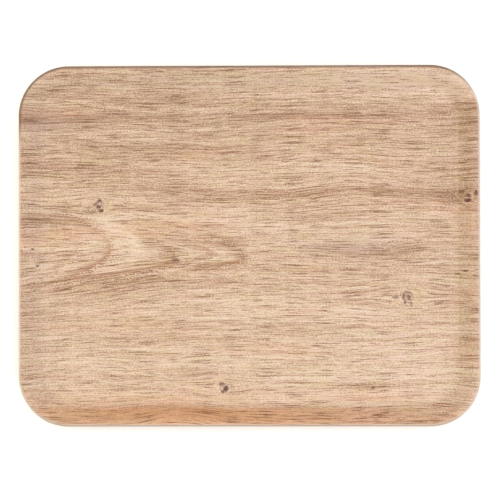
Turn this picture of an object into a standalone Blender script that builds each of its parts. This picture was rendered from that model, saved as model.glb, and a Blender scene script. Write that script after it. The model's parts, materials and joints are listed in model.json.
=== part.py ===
"""Rectangular serving tray, pressed from a stack of bonded sheets with a low flared rim.

The stack, from the serving face down, is a clear wear film, a printed wood decor sheet, five
cross-laid birch veneers and a plain backing sheet. A lacquer bead seals the trimmed edge.

Every sheet follows one section: a level floor, a concave bend at the foot of the rim, a straight
flare and a convex lip that rolls over the top and a little down again. Lengths are in metres and
+Z is up. The origin lies under the middle of the tray, on the surface that it stands on.
"""

import math

import bmesh
import bpy
from mathutils import Vector

# Outline, measured over the lip
LENGTH = 0.460
WIDTH = 0.360
HEIGHT = 0.020
CORNER_RADIUS = 0.050

# Rim section, measured on the serving face
RIM_ANGLE = math.radians(44)
FOOT_RADIUS = 0.0135
LIP_RADIUS = 0.008
LIP_DROOP = math.radians(20)

# Sheets and the bond between them
FILM = 0.0002
DECOR = 0.0003
VENEER = 0.0005
VENEER_COUNT = 5
BACKING = 0.0003
GLUE_LINE = 0.0001

# Trimmed edge, and the bead on it
EDGE_ROUND = 0.0009
SEAL = 0.00035
SEAL_CLEARANCE = 0.0001

# Facets to a bend
CORNER_STEPS = 8
FOOT_STEPS = 3
LIP_STEPS = 2
DROOP_STEPS = 1
SEAL_STEPS = 2
SHARP_EDGE = math.radians(30)

# Colour (linear), roughness
CLEAR_FILM = ((0.62, 0.45, 0.31), 0.34)
OAK_PRINT = ((0.60, 0.41, 0.27), 0.45)
LONG_BIRCH = ((0.62, 0.46, 0.29), 0.65)
CROSS_BIRCH = ((0.50, 0.35, 0.21), 0.70)
PLAIN_BACKING = ((0.56, 0.40, 0.27), 0.55)
LACQUER = ((0.55, 0.43, 0.32), 0.30)


def stack_sheets():
    """(name, thickness, finish) of every sheet, from the serving face down."""
    sheets = [("overlay_film", FILM, CLEAR_FILM), ("decor_sheet", DECOR, OAK_PRINT)]
    for number in range(1, VENEER_COUNT + 1):
        finish = LONG_BIRCH if number % 2 else CROSS_BIRCH
        sheets.append((f"core_ply_{number}", VENEER, finish))
    sheets.append(("backing_sheet", BACKING, PLAIN_BACKING))
    return sheets


SHEETS = stack_sheets()
STACK = sum(thickness for _, thickness, _ in SHEETS) + GLUE_LINE * (len(SHEETS) - 1)


def clear_scene():
    for obj in list(bpy.data.objects):
        bpy.data.objects.remove(obj, do_unlink=True)


def make_material(name, colour, roughness):
    """A plain dielectric finish."""
    material = bpy.data.materials.new(name)
    material.use_nodes = True
    shader = material.node_tree.nodes["Principled BSDF"]
    shader.inputs["Base Color"].default_value = (*colour, 1)
    shader.inputs["Roughness"].default_value = roughness
    shader.inputs["Metallic"].default_value = 0.0
    material.diffuse_color = (*colour, 1)
    return material


def angles(first, last, steps):
    return [first + (last - first) * step / steps for step in range(steps + 1)]


def edge_point(along, across):
    """(Outwards, up) from the lip's centre, of a point near the trimmed edge.

    along runs on past the end of the lip's bend, and across runs up from the stack's mid-plane.
    """
    radius = LIP_RADIUS - STACK / 2 + across
    return (
        radius * math.sin(LIP_DROOP) + along * math.cos(LIP_DROOP),
        radius * math.cos(LIP_DROOP) - along * math.sin(LIP_DROOP),
    )


def bead_outline():
    """Outer face of the bead from its lower end up, as (outwards, up) from the lip's centre."""
    half_flat = STACK / 2 - EDGE_ROUND
    upper = [
        edge_point(EDGE_ROUND * math.cos(a), half_flat + EDGE_ROUND * math.sin(a))
        for a in angles(0, math.pi / 2, SEAL_STEPS)
    ]
    lower = [
        edge_point(EDGE_ROUND * math.cos(a), -half_flat - EDGE_ROUND * math.sin(a))
        for a in angles(math.pi / 2, 0, SEAL_STEPS)
    ]
    return lower + upper


# The flare takes up the height that the floor and the two bends leave, and the bead's furthest
# point lies on the outline
FLARE_RISE = HEIGHT - STACK - (FOOT_RADIUS + LIP_RADIUS) * (1 - math.cos(RIM_ANGLE))
FLARE_RUN = FLARE_RISE / math.tan(RIM_ANGLE)
LIP_INSET = max(outwards for outwards, _ in bead_outline())
FOOT_INSET = LIP_INSET + (FOOT_RADIUS + LIP_RADIUS) * math.sin(RIM_ANGLE) + FLARE_RUN


def sheet_overhang(depth, thickness):
    """How far a sheet runs on past the lip's bend, so that it ends inside the bead."""
    half_facet = math.pi / SEAL_STEPS / 4
    room = EDGE_ROUND * math.cos(half_facet) - SEAL - SEAL_CLEARANCE
    reach = max(0, EDGE_ROUND - depth, EDGE_ROUND - (STACK - depth - thickness))
    if reach >= room:
        return -SEAL * math.sin(half_facet) - SEAL_CLEARANCE
    return math.sqrt(room**2 - reach**2)


def sheet_section(depth, thickness):
    """Section of a sheet's upper face, which lies depth under the serving face.

    Each point is (inset from the outline, height over the floor of that face).
    """
    foot = FOOT_RADIUS + depth
    lip = LIP_RADIUS - depth
    lip_centre = HEIGHT - LIP_RADIUS - STACK + depth
    points = [
        (FOOT_INSET - foot * math.sin(a), foot * (1 - math.cos(a)))
        for a in angles(0, RIM_ANGLE, FOOT_STEPS)
    ]
    bend = angles(RIM_ANGLE, 0, LIP_STEPS) + angles(0, -LIP_DROOP, DROOP_STEPS)[1:]
    points += [(LIP_INSET + lip * math.sin(a), lip_centre + lip * math.cos(a)) for a in bend]
    outwards, up = edge_point(sheet_overhang(depth, thickness), STACK / 2 - depth)
    end = (LIP_INSET - outwards, lip_centre + up)
    if end[0] > points[-1][0]:
        points.pop()
    return points + [end]


def seal_section():
    """Section of the bead's outer face from its lower end up, about the lip's centre."""
    return [(LIP_INSET - outwards, up) for outwards, up in bead_outline()]


def corner_centre(point):
    """Centre of the corner arc that a point of the outline, or of an inset of it, lies on."""
    return Vector(
        (
            math.copysign(LENGTH / 2 - CORNER_RADIUS, point.x),
            math.copysign(WIDTH / 2 - CORNER_RADIUS, point.y),
        )
    )


def rounded_outline(bm, inset):
    """One level face: the tray's outline, moved in by inset."""
    bmesh.ops.create_grid(bm, x_segments=1, y_segments=1, size=1)
    bmesh.ops.scale(
        bm,
        vec=(LENGTH / 2 - inset, WIDTH / 2 - inset, 1),
        verts=bm.verts[:],
    )
    bmesh.ops.bevel(
        bm,
        geom=bm.verts[:],
        offset=CORNER_RADIUS - inset,
        offset_type="OFFSET",
        segments=CORNER_STEPS,
        profile=0.5,
        affect="VERTICES",
    )


def sweep_section(bm, section):
    """Extrudes the open edges of bm outwards and upwards along a section."""
    rim = [edge for edge in bm.edges if len(edge.link_faces) < 2]
    for (inset, height), (next_inset, next_height) in zip(section, section[1:]):
        grown = bmesh.ops.extrude_edge_only(bm, edges=rim)["geom"]
        rim = [item for item in grown if isinstance(item, bmesh.types.BMEdge)]
        for vertex in (v for v in grown if isinstance(v, bmesh.types.BMVert)):
            outward = (vertex.co.xy - corner_centre(vertex.co)).normalized()
            vertex.co += (outward * (inset - next_inset)).to_3d()
            vertex.co.z += next_height - height


def add_shell(name, bm, thickness, finish, height, parent, collection):
    """The open surface in bm, thickened away from its upper or outer side, as a named part."""
    mesh = bpy.data.meshes.new(name)
    bm.to_mesh(mesh)
    bm.free()
    mesh.shade_smooth()
    mesh.set_sharp_from_angle(angle=SHARP_EDGE)
    mesh.materials.append(make_material(name, *finish))
    part = bpy.data.objects.new(name, mesh)
    part.location.z = height
    part.parent = parent
    collection.objects.link(part)
    solidify = part.modifiers.new("Thickness", "SOLIDIFY")
    solidify.thickness = thickness
    solidify.offset = -1
    solidify.use_even_offset = True
    solidify.use_quality_normals = True
    return part


def add_sheet(name, depth, thickness, finish, parent, collection):
    """One sheet of the stack: a dished shell whose upper face lies depth under the serving face."""
    section = sheet_section(depth, thickness)
    bm = bmesh.new()
    rounded_outline(bm, section[0][0])
    sweep_section(bm, section)
    bmesh.ops.recalc_face_normals(bm, faces=bm.faces[:])
    face_upwards(bm)
    add_shell(name, bm, thickness, finish, STACK - depth, parent, collection)


def face_upwards(bm):
    """Turns a dish's faces so that its floor faces up."""
    floor = max(bm.faces, key=lambda face: face.calc_area())
    if floor.normal.z < 0:
        bmesh.ops.reverse_faces(bm, faces=bm.faces[:])


def add_edge_seal(parent, collection):
    """The half-round bead of lacquer around the trimmed edge."""
    section = seal_section()
    bm = bmesh.new()
    rounded_outline(bm, section[0][0])
    bmesh.ops.delete(bm, geom=bm.faces[:], context="FACES_ONLY")
    for vertex in bm.verts:
        vertex.co.z = section[0][1]
    sweep_section(bm, section)
    bmesh.ops.recalc_face_normals(bm, faces=bm.faces[:])
    face_outwards(bm)
    add_shell("edge_seal", bm, SEAL, LACQUER, HEIGHT - LIP_RADIUS, parent, collection)


def face_outwards(bm):
    """Turns a band's faces so that they face away from the tray's middle."""
    face = max(bm.faces, key=lambda f: f.calc_center_median().x)
    if face.normal.x < 0:
        bmesh.ops.reverse_faces(bm, faces=bm.faces[:])


def build_tray():
    collection = bpy.data.collections.new("serving_tray")
    bpy.context.scene.collection.children.link(collection)
    parent = bpy.data.objects.new("tray_origin", None)
    collection.objects.link(parent)

    depth = 0.0
    for name, thickness, finish in SHEETS:
        add_sheet(name, depth, thickness, finish, parent, collection)
        depth += thickness + GLUE_LINE
    add_edge_seal(parent, collection)


clear_scene()
build_tray()
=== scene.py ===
"""The looks of a pressed serving tray with a light oak print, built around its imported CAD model.

The CAD sheets are faceted, so each one is replaced by a finer sheet on the same section. Lengths
are in metres, except that materials are laid out in millimetres from the middle of the tray.
"""

import json
import math
from types import SimpleNamespace
from typing import NamedTuple

import bmesh
import bpy
from mathutils import Matrix, Vector


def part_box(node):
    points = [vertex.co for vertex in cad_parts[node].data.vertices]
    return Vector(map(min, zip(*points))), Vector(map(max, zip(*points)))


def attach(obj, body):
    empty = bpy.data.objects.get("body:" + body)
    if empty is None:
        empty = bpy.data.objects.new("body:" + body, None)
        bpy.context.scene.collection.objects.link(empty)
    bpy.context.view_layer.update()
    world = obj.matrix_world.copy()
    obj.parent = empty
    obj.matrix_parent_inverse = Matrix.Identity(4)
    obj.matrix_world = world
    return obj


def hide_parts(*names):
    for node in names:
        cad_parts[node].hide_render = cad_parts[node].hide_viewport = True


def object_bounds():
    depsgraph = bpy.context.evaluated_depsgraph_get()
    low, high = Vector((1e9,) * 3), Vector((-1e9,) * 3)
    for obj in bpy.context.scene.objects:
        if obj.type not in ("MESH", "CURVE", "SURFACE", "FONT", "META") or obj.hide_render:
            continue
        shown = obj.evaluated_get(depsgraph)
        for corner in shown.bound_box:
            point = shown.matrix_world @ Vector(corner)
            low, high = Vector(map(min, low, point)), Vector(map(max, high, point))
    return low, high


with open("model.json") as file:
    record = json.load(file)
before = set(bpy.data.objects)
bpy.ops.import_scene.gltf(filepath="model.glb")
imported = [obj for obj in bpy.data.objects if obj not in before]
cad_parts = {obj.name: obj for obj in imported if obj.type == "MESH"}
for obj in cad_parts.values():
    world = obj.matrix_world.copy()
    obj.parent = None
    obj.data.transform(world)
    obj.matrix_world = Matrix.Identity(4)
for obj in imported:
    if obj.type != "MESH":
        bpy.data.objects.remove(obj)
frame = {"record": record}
CAD_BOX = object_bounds()

BODY = "root"

# Millimetres in a metre
MM = 1000.0

# Outline and levels, from the frame
LOWEST, HIGHEST = CAD_BOX
LENGTH = HIGHEST[0] - LOWEST[0]
WIDTH = HIGHEST[1] - LOWEST[1]
HEIGHT = HIGHEST[2] - LOWEST[2]
SERVING_LEVEL = next(
    mount["pos_m"][2] for mount in frame["record"]["mounts"] if mount["name"] == "serving_face"
)
RISE = HEIGHT - SERVING_LEVEL
STACK = SERVING_LEVEL

# The section that the CAD sheets follow
CORNER_RADIUS = 0.050
RIM_ANGLE = math.radians(44)
FOOT_RADIUS = 0.0135
LIP_RADIUS = 0.008
LIP_DROOP = math.radians(20)
EDGE_ROUND = 0.0009
SEAL = 0.00035

# The sheets end this far inside the bead
SEAL_CLEARANCE = 0.00003

# Fineness of the pieces
CORNER_STEPS = 40
SIDE_STEPS = 24
FOOT_STEPS = 12
FLARE_STEPS = 4
LIP_STEPS = 10
DROOP_STEPS = 5
SEAL_STEPS = 8
SHARP_EDGE = math.radians(35)

# How far the level floor runs in from the foot of the rim before it is one face
FLOOR_MARGIN = 0.002

PLIES = [f"core_ply_{number}" for number in range(1, 6)]


# ---------------------------------------------------------------- section and outline


def angles(first, last, steps):
    """Evenly spaced angles, with both ends."""
    return [first + (last - first) * step / steps for step in range(steps + 1)]


def edge_point(along, across):
    """(Outwards, up) from the lip's centre: along past the bend's end, across from mid-stack."""
    radius = LIP_RADIUS - STACK / 2 + across
    return (
        radius * math.sin(LIP_DROOP) + along * math.cos(LIP_DROOP),
        radius * math.cos(LIP_DROOP) - along * math.sin(LIP_DROOP),
    )


def bead_outline(inner=0.0):
    """The bead's outer face, or its inner one, from the lower end up, from the lip's centre."""
    half_flat = STACK / 2 - EDGE_ROUND
    radius = EDGE_ROUND - inner
    upper = [
        edge_point(radius * math.cos(a), half_flat + radius * math.sin(a))
        for a in angles(0, math.pi / 2, SEAL_STEPS)
    ]
    lower = [
        edge_point(radius * math.cos(a), -half_flat - radius * math.sin(a))
        for a in angles(math.pi / 2, 0, SEAL_STEPS)
    ]
    return lower + upper


LIP_INSET = max(outwards for outwards, _ in bead_outline())
FLARE_RISE = RISE - (FOOT_RADIUS + LIP_RADIUS) * (1 - math.cos(RIM_ANGLE))
FLARE_RUN = FLARE_RISE / math.tan(RIM_ANGLE)
FOOT_INSET = LIP_INSET + (FOOT_RADIUS + LIP_RADIUS) * math.sin(RIM_ANGLE) + FLARE_RUN


def sheet_overhang(depth, thickness):
    """How far a sheet runs on past the lip's bend, so that it ends inside the bead."""
    room = EDGE_ROUND - SEAL - SEAL_CLEARANCE
    reach = max(0, EDGE_ROUND - depth, EDGE_ROUND - (STACK - depth - thickness))
    if reach >= room:
        return -SEAL_CLEARANCE
    return math.sqrt(room**2 - reach**2)


def face_section(depth, overhang):
    """(Inset, height) of a face that lies depth under the serving face, from the floor outwards."""
    foot = FOOT_RADIUS + depth
    lip = LIP_RADIUS - depth
    lip_centre = HEIGHT - LIP_RADIUS
    floor = SERVING_LEVEL - depth
    points = [(FOOT_INSET + FLOOR_MARGIN, floor)]
    points += [
        (FOOT_INSET - foot * math.sin(a), floor + foot * (1 - math.cos(a)))
        for a in angles(0, RIM_ANGLE, FOOT_STEPS)
    ]
    bend = angles(RIM_ANGLE, 0, LIP_STEPS) + angles(0, -LIP_DROOP, DROOP_STEPS)[1:]
    lip_points = [(LIP_INSET + lip * math.sin(a), lip_centre + lip * math.cos(a)) for a in bend]
    flare = [points[-1], lip_points[0]]
    for step in range(1, FLARE_STEPS):
        share = step / FLARE_STEPS
        points.append(tuple(a + (b - a) * share for a, b in zip(*flare)))
    outwards, up = edge_point(overhang, STACK / 2 - depth)
    return points + lip_points[:-1] + [(LIP_INSET - outwards, lip_centre + up)]


def outline(inset, height):
    """Points of the rounded rectangle at an inset from the tray's edge, anticlockwise."""
    half = Vector((LENGTH / 2 - CORNER_RADIUS, WIDTH / 2 - CORNER_RADIUS))
    radius = CORNER_RADIUS - inset
    points = []
    for corner, (side_x, side_y) in enumerate(((1, 1), (-1, 1), (-1, -1), (1, -1))):
        centre = Vector((half.x * side_x, half.y * side_y))
        for a in angles(corner * math.pi / 2, (corner + 1) * math.pi / 2, CORNER_STEPS):
            place_x = centre.x + radius * math.cos(a)
            place_y = centre.y + radius * math.sin(a)
            points.append(Vector((place_x, place_y, height)))
    closed = []
    for index, point in enumerate(points):
        closed.append(point)
        if index % (CORNER_STEPS + 1) == CORNER_STEPS:
            after = points[(index + 1) % len(points)]
            closed += [point.lerp(after, step / SIDE_STEPS) for step in range(1, SIDE_STEPS)]
    return closed


# ---------------------------------------------------------------- meshes


def loft(bm, sections, closed=False):
    """Quads between the outlines of successive (inset, height) points."""
    rings = [[bm.verts.new(point) for point in outline(*section)] for section in sections]
    pairs = list(zip(rings, rings[1:]))
    if closed:
        pairs.append((rings[-1], rings[0]))
    for ring, following in pairs:
        for index in range(len(ring)):
            after = (index + 1) % len(ring)
            bm.faces.new((ring[index], ring[after], following[after], following[index]))
    return rings


def finish_mesh(name, bm, material, replaced):
    """The mesh in bm as a piece that rides on the tray and stands for CAD nodes."""
    bmesh.ops.recalc_face_normals(bm, faces=bm.faces[:])
    mesh = bpy.data.meshes.new(name)
    bm.to_mesh(mesh)
    bm.free()
    mesh.shade_smooth()
    mesh.set_sharp_from_angle(angle=SHARP_EDGE)
    mesh.materials.append(material)
    piece = bpy.data.objects.new(name, mesh)
    bpy.context.scene.collection.objects.link(piece)
    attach(piece, BODY)
    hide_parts(*replaced)


def depth_and_thickness(*nodes):
    """Depth under the serving face and thickness of a stretch of the stack, from its CAD nodes."""
    boxes = [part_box(node) for node in nodes]
    upper_floor = max(high.z for _, high in boxes) - RISE
    lower_floor = min(low.z for low, _ in boxes)
    return SERVING_LEVEL - upper_floor, upper_floor - lower_floor


def make_sheet(name, nodes, material):
    """One bonded sheet, or several that show as one, dished to the tray's section."""
    depth, thickness = depth_and_thickness(*nodes)
    overhang = sheet_overhang(depth, thickness)
    upper = face_section(depth, overhang)
    lower = face_section(depth + thickness, overhang)
    bm = bmesh.new()
    rings = loft(bm, upper + lower[::-1])
    bm.faces.new(rings[0])
    bm.faces.new(rings[-1])
    finish_mesh(name, bm, material, nodes)


def make_edge_bead(material):
    """The lacquered bead around the trimmed edge."""
    lip_centre = HEIGHT - LIP_RADIUS
    outer = bead_outline()
    inner = bead_outline(SEAL)[::-1]
    section = [(LIP_INSET - outwards, lip_centre + up) for outwards, up in outer + inner]
    bm = bmesh.new()
    loft(bm, section, closed=True)
    finish_mesh("edge_bead", bm, material, ["edge_seal"])


# ---------------------------------------------------------------- material arithmetic


class Field:
    """A number that varies over a surface: an output in a node tree, with arithmetic on it."""

    def __init__(self, tree, output):
        self.tree = tree
        self.output = output

    def math(self, operation, *others, clamp=False):
        node = self.tree.nodes.new("ShaderNodeMath")
        node.operation = operation
        node.use_clamp = clamp
        for socket, value in zip(node.inputs, (self, *others)):
            connect(self.tree, value, socket)
        return Field(self.tree, node.outputs[0])

    def __add__(self, other):
        return self.math("ADD", other)

    def __sub__(self, other):
        return self.math("SUBTRACT", other)

    def __mul__(self, other):
        return self.math("MULTIPLY", other)

    def __truediv__(self, other):
        return self.math("DIVIDE", other)

    def __rsub__(self, other):
        return (self * -1.0).math("ADD", other)

    __radd__ = __add__

    def swing(self, amount):
        """A noise that runs from 0 to 1, moved to swing evenly about 0."""
        return (self - 0.5) * amount

    def squared(self):
        return self * self

    def absolute(self):
        return self.math("ABSOLUTE")

    def most(self, other):
        return self.math("MAXIMUM", other)

    def least(self, other):
        return self.math("MINIMUM", other)

    def times_plus(self, factor, other):
        """self * factor + other."""
        return self.math("MULTIPLY_ADD", factor, other)

    def clamped(self):
        return self.math("ADD", 0.0, clamp=True)

    def falloff(self):
        """e to the power of minus the field: a bell curve of what the field is the square of."""
        node = self.tree.nodes.new("ShaderNodeMath")
        node.operation = "POWER"
        node.inputs[0].default_value = math.exp(-1)
        connect(self.tree, self, node.inputs[1])
        return Field(self.tree, node.outputs[0])

    def step(self, low, high):
        """0 below low and 1 above high, with a smooth rise between. low may be the larger."""
        if low > high:
            return 1.0 - self.step(high, low)
        node = self.tree.nodes.new("ShaderNodeMapRange")
        node.interpolation_type = "SMOOTHSTEP"
        connect(self.tree, self, node.inputs["Value"])
        node.inputs["From Min"].default_value = low
        node.inputs["From Max"].default_value = high
        return Field(self.tree, node.outputs["Result"])


def connect(tree, value, socket):
    """Sets a socket to a number or a colour, or links a field to it."""
    if isinstance(value, Field):
        tree.links.new(value.output, socket)
    else:
        socket.default_value = value


def new_material(name):
    """A material with a Principled shader, its node tree, and the surface's place in millimetres."""
    material = bpy.data.materials.new(name)
    material.use_nodes = True
    tree = material.node_tree
    place = tree.nodes.new("ShaderNodeTexCoord").outputs["Object"]
    split = tree.nodes.new("ShaderNodeSeparateXYZ")
    tree.links.new(place, split.inputs[0])
    x, y, z = (Field(tree, split.outputs[axis]) * MM for axis in range(3))
    return material, tree.nodes["Principled BSDF"], tree, x, y, z


def joined(tree, x, y):
    """Two fields as one point."""
    node = tree.nodes.new("ShaderNodeCombineXYZ")
    connect(tree, x, node.inputs[0])
    connect(tree, y, node.inputs[1])
    return Field(tree, node.outputs[0])


class Layer(NamedTuple):
    """A noise: changes per millimetre across the grain and along it, and how far it swings.

    The shift keeps it from repeating another noise.
    """

    across: float
    along: float
    detail: float = 2.0
    roughness: float = 0.5
    shift: float = 0.0
    swing: float = 1.0


def noise(tree, across, along, layer):
    """Smooth noise from 0 to 1 over two fields."""
    node = tree.nodes.new("ShaderNodeTexNoise")
    node.noise_dimensions = "2D"
    place = joined(tree, along * layer.along, across * layer.across + layer.shift)
    connect(tree, place, node.inputs["Vector"])
    node.inputs["Scale"].default_value = 1.0
    node.inputs["Detail"].default_value = layer.detail
    node.inputs["Roughness"].default_value = layer.roughness
    return Field(tree, node.outputs["Fac"])


def swinging(tree, across, along, layer):
    """The same noise, about 0 and as far to each side as half the layer's swing."""
    return noise(tree, across, along, layer).swing(layer.swing)


def mix(tree, factor, first, second, blend="MIX"):
    """Two colours mixed by a field or a number."""
    node = tree.nodes.new("ShaderNodeMix")
    node.data_type = "RGBA"
    node.blend_type = blend
    connect(tree, factor, node.inputs["Factor"])
    colours = [socket for socket in node.inputs if socket.type == "RGBA"]
    connect(tree, first, colours[0])
    connect(tree, second, colours[1])
    return Field(tree, next(socket for socket in node.outputs if socket.type == "RGBA"))


def colour(red, green, blue):
    """A linear colour from sRGB values of 0 to 255."""
    linear = []
    for value in (red / 255, green / 255, blue / 255):
        linear.append(value / 12.92 if value <= 0.04045 else ((value + 0.055) / 1.055) ** 2.4)
    return (*linear, 1.0)


# Height of the relief, in metres
PRINT_RELIEF = 0.00004
PLAIN_RELIEF = 0.00005
BEAD_RELIEF = 0.00003


def bump(tree, shader, height, distance, strength):
    """Relief in the shader's normal, as deep as a distance in metres."""
    node = tree.nodes.new("ShaderNodeBump")
    connect(tree, height, node.inputs["Height"])
    node.inputs["Distance"].default_value = distance
    node.inputs["Strength"].default_value = strength
    tree.links.new(node.outputs["Normal"], shader.inputs["Normal"])


# ---------------------------------------------------------------- the oak print

# Colours of the print
PALE_OAK = colour(210, 189, 166)
MID_OAK = colour(194, 165, 137)
DARK_OAK = colour(160, 124, 92)
GREY_BROWN = colour(153, 128, 108)
ORANGE_OAK = colour(203, 148, 104)
PORE = colour(118, 74, 42)
KNOT = colour(86, 46, 33)
KNOT_HEART = colour(200, 166, 148)
KNOT_HALO = colour(138, 104, 78)
ARC_BROWN = colour(166, 113, 74)
LILAC_GREY = colour(170, 148, 135)
# Painted highlight and painted shade for the lip, and a painted shade line along its near side
LIP_PAINTED_HIGHLIGHT = colour(202, 186, 171)
LIP_PAINTED_SHADE = colour(108, 82, 62)
NEAR_LIP_PAINTED_SHADE = colour(138, 114, 94)
ROSY_TINT = (1.025, 0.985, 1.02, 1.0)
STRAW_TINT = (0.99, 1.0, 0.93, 1.0)

# The print is laid out this much smaller than the tray
PRINT_SCALE = 0.991

# How the grain lines wander, in millimetres across the grain
WANDER = Layer(0.012, 0.0045, detail=1.0, swing=13.0)
RIPPLE = Layer(0.05, 0.013, detail=1.0, swing=3.0)

# What makes the tone, from broad bands down to fibre and mottle, and the flame's rings
BROAD = Layer(0.045, 0.0035, roughness=0.6, swing=0.7)
GROWTH = Layer(0.22, 0.006, roughness=0.55, swing=0.7)
STREAKS = Layer(0.9, 0.013, detail=1.5, roughness=0.6, swing=1.6)
FIBRE = Layer(1.5, 0.10, detail=1.5, roughness=0.7, swing=1.1)
MOTTLE = Layer(0.85, 0.62, detail=0.0, swing=1.15)
FLAME = Layer(0.17, 0.008, swing=1.4)
BAND_CONTRAST = 0.9
MIDDLE_TONE = 0.40

# Grain that curls round a knot. It changes per size of the knot and not per millimetre across
CURLS = Layer(4.5, 0.2, detail=1.5, swing=2.4)

# Painted shade on the rim: all round, more of it along the near side, and at the ends
PAINTED_RIM_SHADE_DEPTH = 0.15
PAINTED_NEAR_SHADE_DEPTH = 0.2
PAINTED_END_SHADE_DEPTH = 0.12

# Tones at which each wood colour takes over from the one before
MID_TONES = (-0.25, 0.55)
DARK_TONES = (0.35, 1.35)

# What shifts the hue. The tint runs from rosy to straw, and leans to rosy towards the right
HUE = Layer(0.035, 0.006, shift=40.0)
TINT = Layer(0.11, 0.022, roughness=0.8, shift=90.0)
TINT_LEVELS = (0.36, 0.64)
TINT_LEAN = 0.07
TINT_LEAN_RISE = (-60.0, 220.0)

# Grey towards the far side: from where to where, how much of it, and how much more in patches
GREY_RISE = (40.0, 170.0)
GREY_SHARE = 0.34
GREY_PATCHES = (0.55, 0.75)
GREY_PATCH_SHARE = 0.16

# Orange on the near slope, on the floor before it, and in patches. Of each pair of shares, the
# first is for the middle of the near side, given as x, y, half-length and half-width
WARM_MIDDLE = (-40, -166, 170, 1000)
WARM_SLOPE_SHARES = (0.42, 0.09)
WARM_FLOOR_SHARES = (0.13, 0.03)
WARM_FLOOR = (-134.0, -154.0)
WARM_PATCHES = (0.45, 0.25)
WARM_PATCH_SHARE = 0.22

# Pores: rows of dashes, denser where the wood is dark
DASHES = Layer(0.95, 0.034, detail=1.5, shift=13.0)
FINE_DASHES = Layer(1.7, 0.085, detail=1.0, shift=71.0)
DASH_LEVELS = (0.60, 0.74)
FINE_DASH_LEVELS = (0.61, 0.72)
DASH_DEPTH = 0.68
FINE_DASH_DEPTH = 0.40
CROWDING = 0.10

# Ragged outline of the knots' marks
RAGGED = Layer(0.7, 0.7, swing=2.6)
MARK_EDGE = (1.6, 0.4)
MARK_DEPTH = 0.97

# Speckles that break up the stains: share of the mottle, level, and the stain left between them
SPECKLE_MOTTLE = 2.4
SPECKLE_LEVEL = 1.3
STAIN_BETWEEN = 0.3

# The far long side, in millimetres from the middle, and its slant towards the left corner
FAR_SIDE = (118.0, 156.0)
FAR_SLANT = 0.12

# Where the slope and the top of the near rim, and the top of the ends, begin, in millimetres from
# the middle
NEAR_SLOPE = (-160.0, -165.0)
NEAR_RIM = (-166.0, -173.0)
SIDE_RIM = (221.0, 227.0)

# Painted shade on the rim, and painted highlight and shade lines along its lip, in millimetres in
# from the outline
PAINTED_SHADE_BAND = (10.0, 6.5)
PAINTED_HIGHLIGHT_BAND = (3.3, 1.0)
NEAR_PAINTED_HIGHLIGHT_BAND = (4.6, 2.4)
FAR_PAINTED_SHADE_BAND = (3.2, 1.8)
NEAR_PAINTED_SHADE_LINE = (2.0, 1.4)

# How much of the painted highlight and painted shade colour those lines take
PAINTED_HIGHLIGHT_SHARE = 0.60
NEAR_PAINTED_HIGHLIGHT_SHARE = 0.22
FAR_PAINTED_SHADE_SHARE = 0.73
NEAR_PAINTED_SHADE_LINE_SHARE = 0.55

# Where the grain is pushed aside: x, y, reach along, reach across, push, all in millimetres
BENDS = (
    (-152, 40, 26, 11, 8.0),
    (222, 49, 22, 9, 5.0),
    (158, -51, 34, 14, 11.0),
    (-26, -141, 24, 9, 7.0),
    (123, -141, 12, 5, 2.5),
    (-73, -13, 16, 7, 3.0),
)

# Where the grain shifts sideways: x, y, reach along, reach across, shift, all in millimetres
SHIFTS = (
    (-235, -46, 110, 34, 20.0),
    (40, 46, 34, 24, 4.0),
    (108, 56, 40, 26, -3.0),
    (-70, -168, 44, 14, -8.0),
    (150, -160, 70, 14, -4.0),
    (120, 0, 60, 20, 3.0),
)

# Level tone bands: x, y, reach along, half-width, strength. Positive is darker.
BANDS = (
    (150, 162, 150, 12, -0.74),
    (-110, 150, 90, 7, 0.58),
    (-20, 137, 600, 8, 0.14),
    (10, 127, 130, 5, 0.50),
    (-190, 126, 110, 7, 0.66),
    (150, 112, 200, 10, 0.30),
    (-40, 98, 220, 5, 0.28),
    (30, 84, 60, 6, 0.26),
    (-150, 80, 100, 14, 0.34),
    (190, 76, 60, 14, 0.32),
    (-95, 57, 50, 5, 0.20),
    (110, 53, 160, 6, 0.60),
    (190, 48, 50, 12, 0.46),
    (-182, 42, 30, 7, 0.28),
    (80, 34, 60, 12, 0.40),
    (60, 14, 90, 10, 0.26),
    (-205, 26, 44, 6, 0.75),
    (-105, 22, 34, 12, 0.40),
    (-40, 19, 160, 12, -0.30),
    (-180, -1, 44, 20, -0.22),
    (110, -3, 60, 6, 0.60),
    (-109, -20, 26, 5, -0.30),
    (40, -24, 170, 10, 0.16),
    (-170, -22, 44, 8, 0.40),
    (-115, -30, 44, 7, 0.50),
    (-172, -38, 36, 6, 0.32),
    (-80, -58, 56, 5, 0.36),
    (60, -66, 260, 8, -0.24),
    (110, -77, 80, 5, 0.30),
    (175, -104, 56, 14, -0.28),
    (-110, -108, 110, 5, 0.24),
    (40, -118, 260, 12, -0.26),
    (-44, -126, 40, 5, 0.48),
    (120, -132, 100, 6, -0.30),
    (20, -150, 120, 5, -0.20),
    (0, -157, 260, 4, -0.26),
    (-180, -150, 50, 6, -0.34),
    (-180, -155, 40, 4, 0.34),
    (-90, -171, 120, 6, 0.34),
)

# Arcs of the flame figure, open to the left: tip x and y, bow, rise to the left, strength of the
# upper and of the lower branch, half-width, reach. Negative is paler.
ARCS = (
    (-3.5, -9.4, 2.2, 0.03, 0.32, 0.72, 1.0, 48),
    (-39, -6.3, 2.2, 0.03, 0.28, 0.32, 1.3, 26),
    (-75, -9.5, 4.5, 0.08, 0.36, 0.68, 1.8, 80),
    (-112, -1.0, 8.0, 0.05, -0.60, -0.34, 5.0, 44),
    (-139, -1.0, 10.0, 0.0, 0.42, 0.62, 2.0, 42),
    (-172, 1.0, 12.0, 0.0, 0.18, 0.26, 3.0, 40),
)

# Knots that the grain curls round: x, y, half-length, half-width
KNOTS = (
    (-150, 42, 9, 8),
    (213, 48, 14, 9),
    (157, -51, 11, 9),
    (-26, -141, 9, 7),
)

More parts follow.
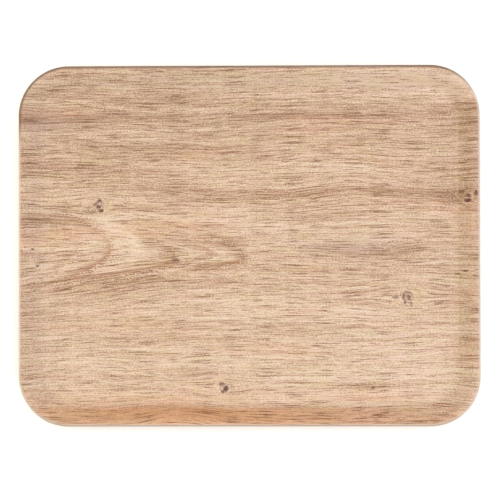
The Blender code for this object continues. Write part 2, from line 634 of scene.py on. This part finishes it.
# Dark marks that make up the knots: x, y, half-length, half-width, depth of colour
KNOT_MARKS = (
    (-149.7, 45.4, 2.5, 1.8, 1.00),
    (-150.0, 39.8, 2.7, 1.9, 1.00),
    (-149.7, 42.6, 3.8, 4.6, 0.62),
    (-148.0, 35.8, 2.5, 1.9, 0.95),
    (-154.4, 42.1, 1.6, 1.4, 0.75),
    (-161.0, 38.8, 2.4, 1.2, 0.50),
    (216.3, 44.8, 3.1, 2.0, 1.00),
    (216.8, 49.4, 2.3, 1.4, 0.85),
    (223.9, 51.8, 2.1, 2.7, 0.85),
    (210.6, 53.7, 3.0, 1.8, 0.55),
    (157.2, -50.4, 4.4, 4.2, 0.34),
    (158.7, -51.2, 2.8, 3.0, 0.80),
    (153.7, -49.9, 1.4, 3.4, 0.80),
    (155.2, -55.7, 1.5, 3.0, 0.75),
    (161.2, -57.4, 1.2, 3.0, 0.55),
    (157.2, -46.5, 3.8, 1.4, 0.60),
    (145.6, -50.9, 3.4, 1.8, 0.60),
    (-25.5, -140.8, 4.4, 4.6, 0.42),
    (-23.7, -141.9, 2.7, 3.3, 1.00),
    (-26.8, -144.4, 2.1, 2.0, 1.00),
    (-27.9, -137.4, 2.5, 2.2, 0.80),
    (123, -141.0, 1.7, 1.3, 0.80),
    (-73, -14.0, 4.0, 1.7, 0.75),
    (214, -25.0, 2.6, 1.0, 0.90),
    (207, -28.0, 2.8, 0.9, 0.80),
    (-215, -2.5, 1.6, 0.9, 0.90),
    (-211, -19.0, 1.5, 1.1, 0.85),
)

# Pale hearts of the knots: x, y, half-length, half-width, strength
KNOT_HEARTS = (
    (-149.3, 42.8, 1.9, 1.9, 0.75),
    (216.0, 47.1, 2.0, 0.8, 0.60),
    (156.4, -53.0, 1.2, 2.4, 0.60),
    (-27.6, -141.6, 1.3, 2.6, 0.95),
)

# Lilac patches: x, y, half-length, half-width, strength
LILAC_PATCHES = (
    (105, -2, 50, 9, 0.40),
    (-205, 122, 40, 9, 0.35),
)

# Warm or dark stains around the knots: x, y, half-length, half-width, strength
STAINS = (
    (203, 49, 14, 9, 0.85),
    (-157.5, 35.0, 6, 3.6, 0.90),
    (112, -139, 20, 4, 0.40),
    (-16, -144, 8, 4, 0.35),
    (-206, 26, 22, 5, 0.45),
    (150, -8, 28, 12, 0.30),
    (-9.5, -9, 6, 4, 0.40),
    (-84, -6, 9, 4, 0.45),
)


def ellipse(point, place_x, place_y, half_x, half_y):
    """Squared distance of a point from an ellipse's middle, 1 on its edge."""
    tree = point.tree
    scaled = tree.nodes.new("ShaderNodeVectorMath")
    scaled.operation = "MULTIPLY_ADD"
    connect(tree, point, scaled.inputs[0])
    scaled.inputs[1].default_value = (1 / half_x, 1 / half_y, 0)
    scaled.inputs[2].default_value = (-place_x / half_x, -place_y / half_y, 0)
    squared = tree.nodes.new("ShaderNodeVectorMath")
    squared.operation = "DOT_PRODUCT"
    for socket in squared.inputs[:2]:
        tree.links.new(scaled.outputs["Vector"], socket)
    return Field(tree, squared.outputs["Value"])


def blotches(point, rows):
    """Sum of soft ellipses, each given as x, y, half-length, half-width and strength."""
    result = 0.0
    for *place_and_size, strength in rows:
        result = ellipse(point, *place_and_size).falloff().times_plus(strength, result)
    return result


def total(fields):
    """Sum of a list of fields."""
    result = fields[0]
    for field in fields[1:]:
        result = result + field
    return result


def edge_distance(x, y):
    """Millimetres in from the tray's outline, near the rim."""
    over_x = (x.absolute() - (LENGTH / 2 - CORNER_RADIUS) * MM).most(0.0)
    over_y = (y.absolute() - (WIDTH / 2 - CORNER_RADIUS) * MM).most(0.0)
    return CORNER_RADIUS * MM - (over_x.squared() + over_y.squared()).math("SQRT")


def far_side(x, y):
    """1 along the far long side and its left corner, 0 elsewhere."""
    return (y - x * FAR_SLANT).step(*FAR_SIDE)


def grain_height(tree, x, y):
    """Height across the grain: level lines of this field are the print's grain lines."""
    line = y + swinging(tree, y, x, WANDER) + swinging(tree, y, x, RIPPLE)
    point = joined(tree, x, y)
    for place_x, place_y, reach_x, reach_y, push in BENDS:
        near = ellipse(point, place_x, place_y, reach_x, reach_y).falloff() * (-push / reach_y)
        line = (y - place_y).times_plus(near, line)
    return line + blotches(point, SHIFTS)


# Beside the thin line of each arc lies a wide soft one: its share of the strength, then its shift
# and its width, in half-widths of the arc
WIDE_LINE_SHARE = 0.4
WIDE_LINE_SHIFT = 1.5
WIDE_LINE_WIDTH = 4.0

# Shares of an arc's reach between which it fades out, and millimetres over which its branches meet
ARC_FADE = (1.6, 0.4)
ARC_TURN = 1.5

# How far the fibre and the mottle fray the arcs, in millimetres, and break up their tone
ARC_FIBRE_FRAY = 7.0
ARC_MOTTLE_FRAY = 6.0
ARC_TONE = 0.35
ARC_FIBRE_TONE = 0.9


def flame_arcs(x, y, ragged):
    """Strength of the growth lines that meet in points along the tray's left half."""
    result = 0.0
    for tip_x, tip_y, bow, rise, upper, lower, half_width, reach in ARCS:
        back = tip_x - x
        offset = back.times_plus(-rise, y - tip_y)
        bowed = (offset / bow).squared()
        along = bowed.times_plus(-bow / 2, back)
        across = (along / (bowed + 1.0).math("SQRT") + ragged) / half_width
        thin = across.squared().falloff()
        wide = ((across - WIDE_LINE_SHIFT) / WIDE_LINE_WIDTH).squared().falloff()
        fade = back.step(*(reach * share for share in ARC_FADE))
        branch = offset.step(-ARC_TURN, ARC_TURN).times_plus(upper - lower, lower)
        result = (wide.times_plus(WIDE_LINE_SHARE, thin) * fade).times_plus(branch, result)
    return result


# Squared distance, in sizes of a knot, past which no knot is near, and how soon its curls fade
FAR_FROM_KNOTS = 9.0
CURL_FADE = 0.7


def knot_rings(tree, point, x, y):
    """(Tone, share) of the grain that curls round the knots."""
    nearest = FAR_FROM_KNOTS
    for place_and_size in KNOTS:
        nearest = ellipse(point, *place_and_size).least(nearest)
    ring = swinging(tree, nearest.math("SQRT"), x + y, CURLS)
    return ring, (nearest * CURL_FADE).falloff()


# The flame figure's nested rings: its axis, and the point that they start from, in millimetres
FLAME_AXIS = -9.0
FLAME_SLOPE = 0.04
FLAME_TIP = -3.0
FLAME_BOW = 8.0
FLAME_CORE = 12.0
FLAME_HALF_WIDTH = 34.0
FLAME_START = (0.0, -40.0)


def flame_rings(tree, x, y):
    """Tone of the nested growth rings behind the point of the flame figure."""
    offset = y - FLAME_AXIS + x * FLAME_SLOPE
    back = (x - FLAME_TIP).least(0.0)
    ring = (offset.squared() + back * FLAME_BOW) / (offset.absolute() + FLAME_CORE)
    share = (offset / FLAME_HALF_WIDTH).squared().falloff() * x.step(*FLAME_START)
    return swinging(tree, ring, x, FLAME) * share


def rim_parts(x, y):
    """Where the rim's parts are: distance in from the outline, and shares from 0 to 1."""
    return SimpleNamespace(
        edge=edge_distance(x, y),
        far=far_side(x, y),
        near=y.step(*NEAR_RIM),
        slope=y.step(*NEAR_SLOPE),
        side=x.absolute().step(*SIDE_RIM),
    )


def oak_grain(tree, x, y):
    """The fields that the print is made of, over its own millimetres."""
    line = grain_height(tree, x, y)
    point = joined(tree, x, y)
    fibre = noise(tree, line, x, FIBRE)
    mottle = noise(tree, y, x, MOTTLE)
    curls, curl_share = knot_rings(tree, point, x, y)
    return SimpleNamespace(
        tree=tree,
        x=x,
        y=y,
        line=line,
        point=point,
        fibre=fibre,
        mottle=mottle,
        arcs=flame_arcs(x, y, fibre.swing(ARC_FIBRE_FRAY) + mottle.swing(ARC_MOTTLE_FRAY)),
        curls=curls * curl_share,
        level=1.0 - curl_share,
    )


def oak_tone(grain, rim):
    """How dark the wood is, with painted shade on the rim: about 0 where it is pale and 1 where it
    is dark.
    """
    tree, x, line = grain.tree, grain.x, grain.line
    # Painted shade within 10 mm of the outline, deeper along the near side, and more at the ends
    painted_shade_depth = rim.near * PAINTED_NEAR_SHADE_DEPTH + PAINTED_RIM_SHADE_DEPTH
    painted_rim_shade = rim.edge.step(*PAINTED_SHADE_BAND) * painted_shade_depth + rim.side * PAINTED_END_SHADE_DEPTH
    return total(
        [
            swinging(tree, line, x, BROAD),
            swinging(tree, line, x, GROWTH),
            flame_rings(tree, x, grain.y),
            swinging(tree, line, x, STREAKS) * grain.level,
            grain.curls,
            grain.fibre.swing(FIBRE.swing),
            grain.mottle.swing(MOTTLE.swing),
            blotches(joined(tree, x, line), BANDS) * BAND_CONTRAST,
            grain.arcs * (grain.fibre * ARC_FIBRE_TONE + ARC_TONE),
            painted_rim_shade,
        ]
    ) + MIDDLE_TONE


def oak_pores(grain, tone):
    """Short dark dashes in rows, denser where the wood is dark."""
    crowding = tone * CROWDING
    dashes = noise(grain.tree, grain.line, grain.x, DASHES) + crowding
    fine_dashes = noise(grain.tree, grain.line, grain.x, FINE_DASHES) + crowding
    deep = dashes.step(*DASH_LEVELS) * grain.level * DASH_DEPTH
    return deep + fine_dashes.step(*FINE_DASH_LEVELS) * FINE_DASH_DEPTH


def warmth(grain, rim, hue):
    """Orange along the near side, most in its middle, and here and there elsewhere."""
    middle = ellipse(grain.point, *WARM_MIDDLE).falloff()
    slope = rim.slope * middle.times_plus(*WARM_SLOPE_SHARES)
    floor = grain.y.step(*WARM_FLOOR) * middle.times_plus(*WARM_FLOOR_SHARES)
    return slope + hue.step(*WARM_PATCHES) * WARM_PATCH_SHARE + floor


def oak_colour(grain, rim, tone):
    """Colour of the wood between its pores: greyer towards the far side, warmer at the near one."""
    tree, x, y = grain.tree, grain.x, grain.y
    base = mix(tree, tone.step(*MID_TONES), PALE_OAK, MID_OAK)
    base = mix(tree, tone.step(*DARK_TONES), base, DARK_OAK)

    hue = noise(tree, grain.line, x, HUE)
    grey = y.step(*GREY_RISE) * GREY_SHARE + hue.step(*GREY_PATCHES) * GREY_PATCH_SHARE
    base = mix(tree, grey * tone.clamped(), base, GREY_BROWN)
    base = mix(tree, warmth(grain, rim, hue).clamped(), base, ORANGE_OAK)
    base = mix(tree, blotches(grain.point, LILAC_PATCHES), base, LILAC_GREY)

    tint = noise(tree, grain.line, x, TINT) - x.step(*TINT_LEAN_RISE) * TINT_LEAN
    tinted = mix(tree, tint.step(*TINT_LEVELS), ROSY_TINT, STRAW_TINT)
    base = mix(tree, 1.0, base, tinted, "MULTIPLY")
    return mix(tree, (grain.arcs * 0.5).clamped(), base, ARC_BROWN)


def stained(grain, base):
    """The colour with the speckled stains around the knots."""
    speckled = (grain.fibre + grain.mottle * SPECKLE_MOTTLE - SPECKLE_LEVEL).clamped()
    stain = blotches(grain.point, STAINS) * (speckled + STAIN_BETWEEN)
    return mix(grain.tree, stain.clamped(), base, KNOT_HALO)


def knotted(grain, base):
    """The colour with the knots: ragged dark marks with a pale heart."""
    tree = grain.tree
    ragged = swinging(tree, grain.y, grain.x, RAGGED)
    knots = 0.0
    for *place_and_size, strength in KNOT_MARKS:
        inside = (ellipse(grain.point, *place_and_size) + ragged).step(*MARK_EDGE)
        knots = (inside * strength).most(knots)
    base = mix(tree, knots * MARK_DEPTH, base, KNOT)
    return mix(tree, blotches(grain.point, KNOT_HEARTS).clamped(), base, KNOT_HEART)


def painted_lip_light(tree, rim, base):
    """The colour with painted light where the print rolls over the lip.

    Painted shade darkens it along the far side and a painted highlight pales it elsewhere,
    with a thin line of painted shade along the near side.
    """
    edge, near = rim.edge, rim.near
    pale = edge.step(*PAINTED_HIGHLIGHT_BAND) * PAINTED_HIGHLIGHT_SHARE + edge.step(*NEAR_PAINTED_HIGHLIGHT_BAND) * near * NEAR_PAINTED_HIGHLIGHT_SHARE
    dark = edge.step(*FAR_PAINTED_SHADE_BAND) * FAR_PAINTED_SHADE_SHARE
    share = pale + (dark - pale) * rim.far
    base = mix(tree, share, base, mix(tree, rim.far, LIP_PAINTED_HIGHLIGHT, LIP_PAINTED_SHADE))
    return mix(tree, edge.step(*NEAR_PAINTED_SHADE_LINE) * near * NEAR_PAINTED_SHADE_LINE_SHARE, base, NEAR_LIP_PAINTED_SHADE)


def oak_print():
    """Light oak print under a satin melamine film, on the serving face."""
    material, shader, tree, x, y, _ = new_material("oak_print")
    rim = rim_parts(x, y)
    grain = oak_grain(tree, x * PRINT_SCALE, y * PRINT_SCALE)
    tone = oak_tone(grain, rim)
    pores = oak_pores(grain, tone)

    base = stained(grain, oak_colour(grain, rim, tone))
    base = knotted(grain, mix(tree, pores.clamped(), base, PORE))
    # Painted highlight and painted shade along the lip go over the print
    connect(tree, painted_lip_light(tree, rim, base), shader.inputs["Base Color"])

    roughness = 0.36 + grain.fibre.swing(0.10) + pores * 0.12
    connect(tree, roughness, shader.inputs["Roughness"])
    shader.inputs["Specular IOR Level"].default_value = 0.35
    shader.inputs["Coat Weight"].default_value = 0.2
    shader.inputs["Coat Roughness"].default_value = 0.22
    bump(tree, shader, grain.fibre * 0.4 - pores + 1.0, PRINT_RELIEF, 0.6)
    return material


# ---------------------------------------------------------------- the other materials

PALE_BIRCH = colour(236, 214, 180)
WARM_BIRCH = colour(216, 184, 143)
BIRCH_FIBRE = colour(178, 140, 100)
PALE_PAPER = colour(222, 193, 160)
DARK_PAPER = colour(208, 174, 139)
PAPER_FIBRE = colour(176, 138, 104)
PAPER_SPECK = colour(150, 118, 92)
WORN_PAPER = colour(232, 210, 184)
PALE_EDGE = colour(206, 180, 148)
DARK_EDGE = colour(178, 150, 118)
END_GRAIN = colour(158, 120, 84)
# The bead's top band: pale grey with painted sheen, and its painted shade along the far side
BEAD_PALE_WITH_SHEEN = colour(198, 190, 181)
BEAD_PAINTED_SHADE = colour(62, 48, 38)

BIRCH_FIGURE = Layer(0.05, 0.008, detail=3.0)
BIRCH_GRAIN = Layer(1.4, 0.07, detail=3.0, roughness=0.65)
PAPER_CLOUD = Layer(0.02, 0.01, detail=3.0)
PAPER_GRAIN = Layer(0.9, 0.05, detail=3.0, roughness=0.6)
PAPER_SPECKS = Layer(2.2, 2.2)
EDGE_SPECKLE = Layer(3.0, 1.1, detail=3.0, roughness=0.7)

# Millimetres up from the surface that the tray stands on, over which the backing is worn
WORN = (0.3, 0.0)

# Millimetres over which a stripe of the trimmed edge fades out, outside it and inside it
STRIPE_OUTSIDE = 0.06
STRIPE_INSIDE = 0.04

# Depth in the stack, in millimetres, of the bottom of the printed face, and the turn at a corner
PRINT_DEPTH = (0.62, 0.5)
CORNER_TURN = 8.0


def birch(name, along_x):
    """Rotary-cut birch veneer with its grain along or across the tray."""
    material, shader, tree, x, y, _ = new_material(name)
    along, across = (x, y) if along_x else (y, x)
    figure = noise(tree, across, along, BIRCH_FIGURE)
    fibre = noise(tree, across, along, BIRCH_GRAIN)
    base = mix(tree, figure, PALE_BIRCH, WARM_BIRCH)
    base = mix(tree, fibre.step(0.5, 0.75) * 0.5, base, BIRCH_FIBRE)
    connect(tree, base, shader.inputs["Base Color"])
    shader.inputs["Roughness"].default_value = 0.7
    bump(tree, shader, fibre, PLAIN_RELIEF, 0.5)
    return material


def backing():
    """Plain matt balancing sheet with a faint wood tone, worn a little where it stands."""
    material, shader, tree, x, y, z = new_material("plain_backing")
    cloud = noise(tree, y, x, PAPER_CLOUD)
    fibre = noise(tree, y, x, PAPER_GRAIN)
    speck = noise(tree, y, x, PAPER_SPECKS)
    base = mix(tree, cloud.step(0.3, 0.7), PALE_PAPER, DARK_PAPER)
    base = mix(tree, fibre.step(0.52, 0.8) * 0.5, base, PAPER_FIBRE)
    base = mix(tree, speck.step(0.68, 0.8) * 0.35, base, PAPER_SPECK)
    base = mix(tree, z.step(*WORN) * cloud.step(0.45, 0.7) * 0.2, base, WORN_PAPER)
    connect(tree, base, shader.inputs["Base Color"])
    connect(tree, 0.5 + fibre.swing(0.2), shader.inputs["Roughness"])
    bump(tree, shader, fibre + speck * 0.5, PLAIN_RELIEF, 0.5)
    return material


def veneer_stripes(tree, depth, on_long_side, base):
    """The colour with a stripe for each veneer, darker where it shows its end grain."""
    for number, ply in enumerate(PLIES):
        top, thickness = (value * MM for value in depth_and_thickness(ply))
        bottom = top + thickness
        start = depth.step(top - STRIPE_OUTSIDE, top + STRIPE_INSIDE)
        end = depth.step(bottom + STRIPE_OUTSIDE, bottom - STRIPE_INSIDE)
        end_grain = on_long_side if number % 2 else 1.0 - on_long_side
        base = mix(tree, start * end * (end_grain * 0.55 + 0.10), base, END_GRAIN)
    return base


def lacquered_edge():
    """Clear lacquer over the trimmed edge, where the veneers show as thin stripes.

    Its top band, at the printed face's depth, is pale grey with painted sheen, and dark with
    painted shade along the far side.
    """
    material, shader, tree, x, y, z = new_material("edge_lacquer")
    lip_centre = HEIGHT - LIP_RADIUS
    top = (lip_centre + edge_point(0.0, STACK / 2)[1]) * MM
    bottom = (lip_centre + edge_point(0.0, -STACK / 2)[1]) * MM
    depth = (z - top) * (STACK * MM / (bottom - top))
    past_y = y.absolute() - WIDTH / 2 * MM + CORNER_RADIUS * MM
    past_x = x.absolute() - LENGTH / 2 * MM + CORNER_RADIUS * MM
    on_long_side = (past_y - past_x).step(-CORNER_TURN, CORNER_TURN)

    speckle = noise(tree, z, x + y, EDGE_SPECKLE)
    base = mix(tree, speckle, PALE_EDGE, DARK_EDGE)
    base = veneer_stripes(tree, depth, on_long_side, base)
    # Painted sheen on the bead's top band, and painted shade on it along the far side
    printed = mix(tree, far_side(x, y), BEAD_PALE_WITH_SHEEN, BEAD_PAINTED_SHADE)
    base = mix(tree, depth.step(*PRINT_DEPTH), base, printed)
    connect(tree, base, shader.inputs["Base Color"])
    connect(tree, 0.34 + speckle.swing(0.15), shader.inputs["Roughness"])
    shader.inputs["Coat Weight"].default_value = 0.3
    shader.inputs["Coat Roughness"].default_value = 0.2
    bump(tree, shader, speckle, BEAD_RELIEF, 0.5)
    return material


# ---------------------------------------------------------------- stage

FLOOR_SIZE = 6.0

CAMERA_DISTANCE = 1.5
CAMERA_TILT_X = math.radians(0.858)
CAMERA_TILT_Y = math.radians(-0.519)
CAMERA_ROLL = math.radians(-0.131)
CAMERA_AIM = Vector((0.00064, -0.00386, 0.0))
CAMERA_LENS = 106.99
CAMERA_SENSOR = 36.0
CAMERA_CLIP = 20.0

WORLD_STRENGTH = 0.55
WORLD_LEAN = (0.15, -0.1, 0.0)

# Soft lights: name, place, size, power, tint
LIGHTS = (
    ("overhead", (0.0, 0.2, 2.6), (3.4, 3.4), 48.0, (1.0, 1.0, 1.0)),
    ("front_right", (1.3, -1.8, 1.7), (1.4, 1.0), 16.0, (1.0, 0.98, 0.97)),
    ("back", (-0.4, 2.0, 1.5), (1.4, 0.8), 6.0, (1.0, 1.0, 1.0)),
    ("left", (-2.0, 0.3, 1.3), (1.2, 1.2), 15.0, (1.0, 0.90, 0.62)),
    ("right", (2.0, 0.3, 1.0), (1.2, 1.2), 10.0, (0.86, 0.86, 1.0)),
)


def make_floor():
    """The plain white floor that the tray stands on."""
    material = bpy.data.materials.new("white_floor")
    material.use_nodes = True
    shader = material.node_tree.nodes["Principled BSDF"]
    shader.inputs["Base Color"].default_value = (0.98, 0.98, 0.98, 1)
    shader.inputs["Roughness"].default_value = 0.9
    bm = bmesh.new()
    bmesh.ops.create_grid(bm, x_segments=1, y_segments=1, size=FLOOR_SIZE / 2)
    mesh = bpy.data.meshes.new("floor")
    bm.to_mesh(mesh)
    bm.free()
    mesh.materials.append(material)
    floor = bpy.data.objects.new("floor", mesh)
    bpy.context.scene.collection.objects.link(floor)


def make_camera():
    """The camera, straight above but for a slight tilt and roll."""
    data = bpy.data.cameras.new("camera")
    data.lens = CAMERA_LENS
    data.sensor_width = CAMERA_SENSOR
    data.clip_end = CAMERA_CLIP
    camera = bpy.data.objects.new("camera", data)
    direction = Vector((math.tan(CAMERA_TILT_X), math.tan(CAMERA_TILT_Y), 1.0)).normalized()
    camera.location = CAMERA_AIM + direction * CAMERA_DISTANCE
    camera.rotation_mode = "QUATERNION"
    forward = -direction
    right = forward.cross(Vector((0, 1, 0))).normalized()
    up = right.cross(forward)
    turned_up = up * math.cos(CAMERA_ROLL) - right * math.sin(CAMERA_ROLL)
    turned_right = forward.cross(turned_up)
    rotation = Matrix((turned_right, turned_up, -forward)).transposed()
    camera.rotation_quaternion = rotation.to_quaternion()
    bpy.context.scene.collection.objects.link(camera)
    bpy.context.scene.camera = camera


def make_light(name, place, size, power, tint):
    """A soft rectangular light that faces the middle of the tray."""
    data = bpy.data.lights.new(name, "AREA")
    data.shape = "RECTANGLE"
    data.size, data.size_y = size
    data.energy = power
    data.color = tint
    light = bpy.data.objects.new(name, data)
    light.location = place
    light.rotation_euler = (Vector(place) * -1).to_track_quat("-Z", "Y").to_euler()
    bpy.context.scene.collection.objects.link(light)


def make_world():
    """Soft light from all round, stronger from the near right than from the far left."""
    world = bpy.data.worlds.new("studio")
    world.use_nodes = True
    tree = world.node_tree
    direction = tree.nodes.new("ShaderNodeTexCoord").outputs["Generated"]
    lean = tree.nodes.new("ShaderNodeVectorMath")
    lean.operation = "DOT_PRODUCT"
    tree.links.new(direction, lean.inputs[0])
    lean.inputs[1].default_value = WORLD_LEAN
    shade = Field(tree, lean.outputs["Value"]) * WORLD_STRENGTH + WORLD_STRENGTH
    background = tree.nodes["Background"]
    background.inputs["Color"].default_value = (1.0, 1.0, 1.0, 1.0)
    connect(tree, shade, background.inputs["Strength"])
    bpy.context.scene.world = world


def make_stage():
    """The floor, camera and lights around the tray."""
    make_floor()
    make_camera()
    make_world()
    for light in LIGHTS:
        make_light(*light)
    bpy.context.scene.view_settings.view_transform = "Standard"


# ---------------------------------------------------------------- assembly


def build_tray():
    """The pieces from the serving face down, and the bead."""
    make_sheet("printed_face", ["overlay_film", "decor_sheet"], oak_print())
    long_birch = birch("long_birch", along_x=True)
    cross_birch = birch("cross_birch", along_x=False)
    for number, ply in enumerate(PLIES):
        if number % 2:
            make_sheet(f"veneer_{number + 1}", [ply], cross_birch)
        else:
            make_sheet(f"veneer_{number + 1}", [ply], long_birch)
    make_sheet("backing_face", ["backing_sheet"], backing())
    make_edge_bead(lacquered_edge())


build_tray()
make_stage()
